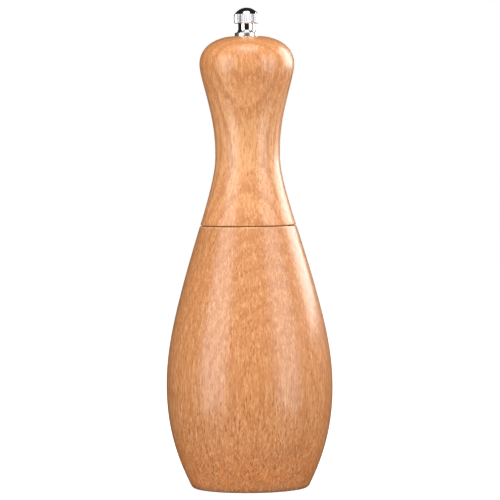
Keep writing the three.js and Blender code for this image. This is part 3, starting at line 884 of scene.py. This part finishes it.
def screw(node_name, body, radius, head, degrees, circle, material):
    """A cross-head screw, point up, its thread wound round a thinner core."""
    head_radius, head_height = head
    bottom, top = low(node_name).z, high(node_name).z
    under = bottom + head_height
    rows = int((top - under - SCREW_SHANK) / SCREW_PITCH * 12)

    def thread(r, angle, z):
        if r != radius or z < under + 0.5:
            return r
        share = (z / SCREW_PITCH - angle / (2 * math.pi)) % 1
        crest = max(0.0, 1 - abs(share - 0.5) / 0.3)
        taper = min(1.0, (top - z) / SCREW_POINT)
        return radius * (0.68 + 0.32 * crest) * (0.12 + 0.88 * taper)

    outline = [
        (0, bottom),
        (head_radius * 0.5, bottom + 0.04),
        (head_radius * 0.8, bottom + head_height * 0.14),
        (head_radius * 0.95, bottom + head_height * 0.32),
        (head_radius, bottom + head_height * 0.45),
        (head_radius, under - 0.08),
        (head_radius - 0.08, under),
        (radius * 0.7, under),
        (radius, under + SCREW_SHANK),
        *straight((radius, under + SCREW_SHANK), (radius, top - 0.02), rows),
        (0, top),
    ]
    piece = turned(node_name + "_look", outline, 36, [material], shift=thread)
    reach, width = head_radius * 0.58, head_radius * 0.2
    slot_top = bottom + head_height * 0.6
    slots = [arm(-reach, reach, width, bottom - PAST, slot_top, slot_degrees) for slot_degrees in (20, 110)]
    combine(piece, slots, "DIFFERENCE")
    x, y = out_at(circle, degrees)
    piece.data.transform(Matrix.Translation((x * MM, y * MM, 0)))
    return stand_for(piece, body, node_name)


# ---------------------------------------------------------------- grinder, turning pieces


def rotor_burr(material):
    bottom, top = low("rotor_burr").z, high("rotor_burr").z
    bore = CARRIER_RADIUS + HOLE_SPACE
    counterbore = CARRIER_DISC + HOLE_SPACE
    step = CARRIER_DISC_TOP + 0.05
    crown = bore + ROTOR_NECK_WALL
    shoulder = cone_radius(BAND_TOP) - BURR_GAP
    rise = top - BAND_TOP
    band_bottom = bottom + TOOTH_DEPTH
    rows = 10
    levels = [band_bottom + (BAND_TOP - band_bottom) * i / rows for i in range(rows + 1)]
    band = [(cone_radius(z) - BURR_GAP, z) for z in levels]
    feed_corners = [
        (shoulder, BAND_TOP),
        ((3 * shoulder + crown) / 4, BAND_TOP + rise / 6),
        ((shoulder + crown) / 2, BAND_TOP + rise / 2),
        (crown, top - rise / 6),
        (crown, top),
    ]
    feed = []
    for start, end, steps in zip(feed_corners, feed_corners[1:], (4, 6, 8, 4)):
        feed += straight(start, end, steps)
    outline = [
        (counterbore, bottom),
        (band[0][0] - TOOTH_DEPTH, bottom),
        *band,
        *feed,
        (bore, top),
        (bore, step),
        (counterbore, step),
    ]

    def carved(r, angle, z):
        if r > counterbore + 0.3 and bottom + 0.1 < z <= BAND_TOP + 0.01:
            return r - TOOTH_DEPTH * tooth(-angle, -z)
        if r > bore + 0.1 and z > BAND_TOP:
            turn = FLUTE_TWIST * (z - BAND_TOP) / rise
            return r - FLUTE_DEPTH * (0.5 - 0.5 * math.cos(FLUTES * (angle - turn)))
        return r

    piece = turned("rotor", outline, TEETH * 12, [material], shift=carved)
    slot_width = LUG_WIDTH + 2 * HOLE_SPACE
    slot_top = CARRIER_DISC_TOP + LUG_HEIGHT + HOLE_SPACE
    combine(piece, three_arms(0, counterbore, slot_width, CARRIER_DISC_TOP - PAST, slot_top), "DIFFERENCE")
    return stand_for(piece, "spindle", "rotor_burr")


def rotor_carrier(material):
    bottom, top = low("rotor_carrier").z, high("rotor_carrier").z
    outline = rounded(
        [
            (0, bottom),
            (CARRIER_DISC, bottom, 0.3),
            (CARRIER_DISC, CARRIER_DISC_TOP, 0.2),
            (CARRIER_RADIUS, CARRIER_DISC_TOP, 0.2),
            (CARRIER_RADIUS, top, 0.4),
            (0, top),
        ]
    )
    piece = turned("carrier", outline, ROUND_SEGMENTS, [material])
    lug_start, lug_end = CARRIER_RADIUS - 0.5, CARRIER_DISC - HOLE_SPACE
    lugs = three_arms(lug_start, lug_end, LUG_WIDTH, bottom + 0.5, CARRIER_DISC_TOP + LUG_HEIGHT)
    combine(piece, lugs, "UNION")
    combine(piece, [square_bar(SQUARE_HOLE, bottom - PAST, top + PAST)], "DIFFERENCE")
    soften(piece, 0.12)
    return stand_for(piece, "spindle", "rotor_carrier")


def rotor_washer(material):
    bottom, top = low("rotor_washer").z, high("rotor_washer").z
    radius, hole = high("rotor_washer").x, THREAD_RADIUS + HOLE_SPACE
    outline = rounded([(radius, bottom, 0.12), (radius, top, 0.25), (hole, top, 0.2), (hole, bottom, 0.1)])
    piece = turned("washer", outline, ROUND_SEGMENTS, [material])
    return stand_for(piece, "spindle", "rotor_washer")


def retaining_clip(material):
    """An E-clip: a flat ring, open on one side, with two windows beside its back tooth."""
    bottom, top = low("retaining_clip").z, high("retaining_clip").z
    outer, inner = THREAD_RADIUS + CLIP_WIDTH, THREAD_RADIUS - GROOVE_DEPTH + HOLE_SPACE
    outline = rounded([(outer, bottom, 0.15), (outer, top, 0.08), (inner, top, 0.05), (inner, bottom, 0.05)])
    piece = turned("clip", outline, ROUND_SEGMENTS, [material])
    cuts = [arm(0, outer + PAST, 2 * inner, bottom - PAST, top + PAST)]
    for degrees in (125, 235):
        cuts.append(rod(CLIP_WINDOW, bottom - PAST, top + PAST, out_at(inner + 0.3, degrees), 32))
    combine(piece, cuts, "DIFFERENCE")
    return stand_for(piece, "spindle", "retaining_clip")


def drive_shaft(material):
    bottom, top = low("drive_shaft").z, high("drive_shaft").z
    square_bottom, square_top = low("rotor_carrier").z, CROWN_HEIGHT - CROWN_WEB - SHAFT_END_SPACE
    piece = square_bar(SHAFT_WIDTH, square_bottom, square_top)
    piece.name = "shaft"
    piece.data.materials.append(material)
    soften(piece, 0.35, 3)
    groove = THREAD_RADIUS - GROOVE_DEPTH
    groove_bottom, groove_top = low("retaining_clip").z - 0.05, high("retaining_clip").z + 0.02
    journal = [
        (0, bottom),
        (THREAD_RADIUS - 0.3, bottom),
        (THREAD_RADIUS, bottom + 0.3),
        (THREAD_RADIUS, groove_bottom),
        (groove, groove_bottom),
        (groove, groove_top),
        (THREAD_RADIUS, groove_top),
        (THREAD_RADIUS, square_bottom + 1),
        (0, square_bottom + 1),
    ]
    core = THREAD_RADIUS - 0.35
    start, end = square_top + 0.6, top - 0.5
    rows = int((end - start) / THREAD_PITCH * 10)
    threaded = [
        (0, square_top - 1),
        (core, square_top - 1),
        (core, start - 0.2),
        (THREAD_RADIUS, start),
        *straight((THREAD_RADIUS, start), (THREAD_RADIUS, end), rows),
        (THREAD_RADIUS - 0.5, top),
        (0, top),
    ]

    def thread(r, angle, z):
        if r != THREAD_RADIUS:
            return r
        share = (z / THREAD_PITCH - angle / (2 * math.pi)) % 1
        return THREAD_RADIUS - 0.4 * abs(2 * share - 1)

    parts = [turned("journal", journal, 48, []), turned("thread", threaded, 40, [], shift=thread)]
    combine(piece, parts, "UNION")
    return stand_for(piece, "spindle", "drive_shaft")


def shaft_bush(material):
    bottom, top = low("shaft_bush").z, high("shaft_bush").z
    flange, barrel = high("shaft_bush").x, HUB_BORE - HOLE_SPACE
    flange_top = bottom + BUSH_FLANGE
    outline = rounded(
        [
            (0, bottom),
            (flange, bottom, 0.25),
            (flange, flange_top, 0.2),
            (barrel, flange_top, 0.1),
            (barrel, top, 0.35),
            (0, top),
        ]
    )
    piece = turned("bush", outline, ROUND_SEGMENTS, [material])
    combine(piece, [square_bar(SQUARE_HOLE, bottom - PAST, top + PAST)], "DIFFERENCE")
    soften(piece, 0.12)
    return stand_for(piece, "drive_bush", "shaft_bush")


def coil_height(turns):
    """How far up the spring's wire is after a number of turns: its end turns lie closed."""
    bottom, top = low("rotor_spring").z + SPRING_WIRE, high("rotor_spring").z - SPRING_WIRE
    closed = SPRING_CLOSED_TURNS
    end_rise = 2 * SPRING_WIRE * 1.05
    first_end = min(1.0, turns / closed)
    last_end = max(0.0, (turns - SPRING_TURNS + closed) / closed)
    share = min(1.0, max(0.0, (turns - closed) / (SPRING_TURNS - 2 * closed)))
    return bottom + end_rise * (first_end + last_end) + (top - bottom - 2 * end_rise) * share


def rotor_spring(material):
    """A coil spring with closed, flat ends."""
    radius = high("rotor_spring").x - SPRING_WIRE
    steps, sides = 240, 14
    bm = bmesh.new()
    rings = []
    for i in range(steps + 1):
        turns = SPRING_TURNS * i / steps
        z = coil_height(turns)
        angle = 2 * math.pi * turns
        out = Vector((math.cos(angle), math.sin(angle), 0))
        ring = []
        for k in range(sides):
            round_wire = 2 * math.pi * k / sides
            reach = radius + SPRING_WIRE * math.cos(round_wire)
            ring.append(bm.verts.new(out * reach + Vector((0, 0, z + SPRING_WIRE * math.sin(round_wire)))))
        rings.append(ring)
    for first, second in zip(rings, rings[1:]):
        for k in range(sides):
            n = (k + 1) % sides
            bm.faces.new((first[k], first[n], second[n], second[k]))
    bm.faces.new(rings[0])
    bm.faces.new(rings[-1])
    piece = finish_mesh(bm, "spring", [material])
    stand_for(piece, "drive_bush", "rotor_spring")
    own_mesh(piece)
    return piece


def driver_plate(material):
    bottom, top = low("driver_plate").z, high("driver_plate").z
    radius = high("driver_plate").x
    outline = rounded([(0, bottom), (radius, bottom, 0.2), (radius, top, 0.1), (0, top)])
    piece = turned("plate", outline, ROUND_SEGMENTS, [material])
    screw_holes = three_rods(PLATE_SCREW + HOLE_SPACE, bottom - PAST, top + PAST, PLATE_CIRCLE)
    combine(piece, [square_bar(SQUARE_HOLE, bottom - PAST, top + PAST), *screw_holes], "DIFFERENCE")
    soften(piece, 0.1)
    return stand_for(piece, "head", "driver_plate")


# ---------------------------------------------------------------- studio


def facing(start, target):
    """The turn that makes a lamp or camera at start look at target, its top up."""
    return (Vector(target) - Vector(start)).to_track_quat("-Z", "Y")


def softbox(name, azimuth, height, distance, size, radiance, aim=0.11):
    """An area light facing the mill's axis at the height aim.

    Azimuth 0 is the camera's side and 90 the right. The size is its width and height.
    """
    width, tall = size
    light = bpy.data.lights.new(name, "AREA")
    light.shape = "RECTANGLE"
    light.size = width
    light.size_y = tall
    light.energy = radiance * math.pi * width * tall
    lamp = link(name, light)
    turn = math.radians(azimuth)
    lamp.location = (distance * math.sin(turn), -distance * math.cos(turn), height)
    lamp.rotation_mode = "QUATERNION"
    lamp.rotation_quaternion = facing(lamp.location, (0, 0, aim))
    lamp.visible_camera = False
    return lamp


def floor_material():
    """Pale and glowing from above, and clear from below so that the mill's base can be seen."""
    material = bpy.data.materials.new("pale_floor")
    material.use_nodes = True
    tree = material.node_tree
    shader = tree.nodes["Principled BSDF"]
    shader.inputs["Base Color"].default_value = FLOOR_GREY
    shader.inputs["Roughness"].default_value = 0.9
    shader.inputs["Specular IOR Level"].default_value = 0.0
    shader.inputs["Emission Color"].default_value = WHITE
    shader.inputs["Emission Strength"].default_value = FLOOR_GLOW
    from_below = node(tree, "ShaderNodeNewGeometry").outputs["Backfacing"]
    clear = node(tree, "ShaderNodeBsdfTransparent").outputs["BSDF"]
    one_sided = node(tree, "ShaderNodeMixShader", {0: from_below, 1: shader.outputs["BSDF"], 2: clear})
    tree.links.new(one_sided.outputs["Shader"], tree.nodes["Material Output"].inputs["Surface"])
    return material


def pale_floor():
    """A floor that the mill neither mirrors nor is lit by: floor_bounce stands in for its light."""
    bm = bmesh.new()
    bmesh.ops.create_grid(bm, x_segments=2, y_segments=2, size=6)
    mesh = bpy.data.meshes.new("floor")
    bm.to_mesh(mesh)
    bm.free()
    mesh.materials.append(floor_material())
    floor = link("floor", mesh)
    floor.location.z = cad_bounds[0].z
    floor.visible_diffuse = False
    floor.visible_glossy = False
    floor.visible_shadow = False


def backdrop():
    """White to the camera, a soft fill for the wood and nearly dark in reflections."""
    world = bpy.data.worlds.new("studio")
    bpy.context.scene.world = world
    world.use_nodes = True
    tree = world.node_tree
    background = tree.nodes["Background"]
    path = node(tree, "ShaderNodeLightPath")
    in_reflections = times(tree, path.outputs["Is Glossy Ray"], WORLD_FILL - WORLD_GLOSS)
    fill = calc(tree, "SUBTRACT", WORLD_FILL, in_reflections)
    strength = calc(tree, "MAXIMUM", path.outputs["Is Camera Ray"], fill)
    tree.links.new(strength, background.inputs["Strength"])
    background.inputs["Color"].default_value = WHITE


def camera():
    data = bpy.data.cameras.new("camera")
    data.lens = CAMERA_LENS
    data.clip_start = 0.05
    data.clip_end = 50
    made = link("camera", data)
    made.location = CAMERA_PLACE
    made.rotation_mode = "QUATERNION"
    roll = Matrix.Rotation(math.radians(CAMERA_ROLL), 3, "Z").to_quaternion()
    made.rotation_quaternion = facing(made.location, CAMERA_AIM) @ roll
    bpy.context.scene.camera = made


# ---------------------------------------------------------------- build

lacquered_head = wood_material(
    "lacquered_wood", ring_turn=0, ring_lean=0.0, ring_share=0.8, least_deep=0.2, lacquered=True
)
# painted shade: the body's copy of the wood is darkened all over, to dim the light its upper belly catches
lacquered_body = wood_material(
    "lacquered_wood_body",
    ring_turn=20,
    ring_lean=-0.14,
    ring_share=0.6,
    least_deep=0.95,
    lacquered=True,
    painted_shade_tone=0.915,
)
bare = wood_material(
    "bare_wood", ring_turn=0, ring_lean=0.05, ring_share=0.3, least_deep=0.5, lacquered=False
)
chrome = chrome_material("polished_chrome", smoothest=0.04, roughest=0.10)
satin_chrome = chrome_material("satin_chrome", smoothest=0.26, roughest=0.34)
steel = steel_material()
black = moulded_material("black_plastic", BLACK_COLOURS, rough=0.42, grain=0.25, speckle=0.5)
acetal = moulded_material("white_acetal", ACETAL_COLOURS, rough=0.36, grain=0.1, speckle=0.2)
ceramic = moulded_material("alumina", CERAMIC_COLOURS, rough=0.38, grain=0.3, speckle=0.6)

body_wood([lacquered_body, bare])
grinder_housing(black)
stator_burr(ceramic)
bottom_bridge(steel)
shaft_bush(acetal)
rotor_spring(steel)
drive_shaft(steel)
rotor_carrier(black)
rotor_burr(ceramic)
rotor_washer(steel)
retaining_clip(steel)
head_wood([lacquered_head, bare])
driver_plate(steel)
for number, degrees in enumerate(thirds(), 1):
    screw(f"mounting_screw_{number}", "body", MOUNTING_SCREW, MOUNTING_HEAD, degrees, MOUNTING_CIRCLE, steel)
    screw(f"plate_screw_{number}", "head", PLATE_SCREW, PLATE_HEAD, degrees, PLATE_CIRCLE, steel)
knob_piece(chrome)
knob_washer_piece(satin_chrome)

pale_floor()
backdrop()
softbox("left_softbox", azimuth=-51, height=0.36, distance=1.3, size=(0.9, 1.3), radiance=3.25)
softbox("right_softbox", azimuth=56, height=0.36, distance=1.3, size=(0.85, 1.3), radiance=2.85)
softbox("top_softbox", azimuth=5, height=1.5, distance=0.9, size=(1.0, 1.2), radiance=2.2)
softbox("overhead_softbox", azimuth=5, height=1.75, distance=0.3, size=(1.0, 0.8), radiance=2.6)
softbox("right_rim", azimuth=122, height=0.36, distance=0.5, size=(0.34, 0.42), radiance=4.6, aim=0.34)
softbox("floor_bounce", azimuth=0, height=-0.7, distance=0.15, size=(2.4, 2.4), radiance=0.17, aim=0.06)
camera()
bpy.context.scene.view_settings.view_transform = "Standard"
